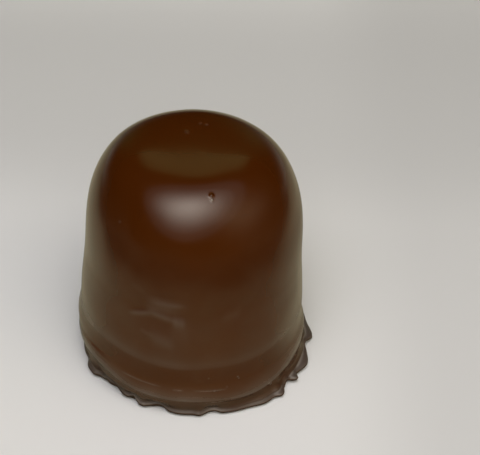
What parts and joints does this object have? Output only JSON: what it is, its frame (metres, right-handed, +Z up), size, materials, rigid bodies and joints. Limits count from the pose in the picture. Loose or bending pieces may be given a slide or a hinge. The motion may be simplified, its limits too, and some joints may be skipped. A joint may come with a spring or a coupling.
{
  "type": "chocolate teacake",
  "caption": "Tall flat-topped dome dipped in dark chocolate, with two soft ridges and a ragged foot, standing on a thin waffled wafer.",
  "frame": {"origin": "centre of the wafer's underside, on the table that the teacake stands on", "axes": "+Z up through the crown; -Y is the side shown to the front, and +X is to its right, where the foot spread furthest"},
  "size_m": [0.0582, 0.0562, 0.0595],
  "materials": {
    "chocolate_coat": "satin",
    "baked_wafer": "matte, finely porous"
  },
  "bodies": {
    "root": {"coated_dome": "chocolate_coat", "wafer": "baked_wafer"}
  },
  "joints": []
}
